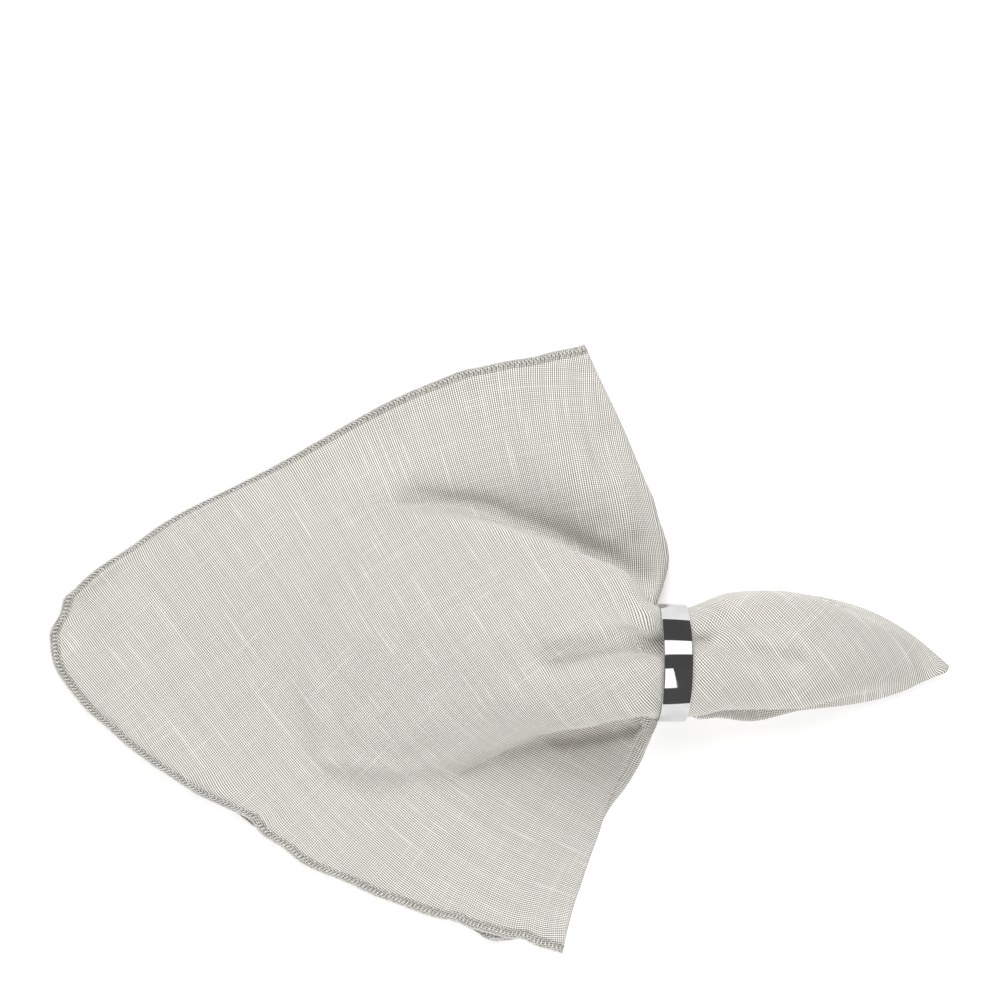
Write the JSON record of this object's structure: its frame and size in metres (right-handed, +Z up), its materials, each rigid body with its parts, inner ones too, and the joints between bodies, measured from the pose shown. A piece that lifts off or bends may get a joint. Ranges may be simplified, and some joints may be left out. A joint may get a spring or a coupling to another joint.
{
  "type": "napkin in a ring",
  "caption": "Linen napkin folded and drawn through a polished metal ring, its hemmed corners fanned out flat and its folded centre pulled out to a leaf-shaped tip",
  "frame": {"origin": "middle of the part's footprint, on the surface it rests on", "axes": "+X towards the folded tip, +Y towards the upper fanned corner, +Z up"},
  "size_m": [0.3198, 0.2161, 0.0421],
  "materials": {
    "linen": "undyed slubbed plain weave, matte",
    "metal": "mirror polished"
  },
  "bodies": {
    "root": {"napkin": "linen", "ring": "metal"}
  },
  "joints": []
}
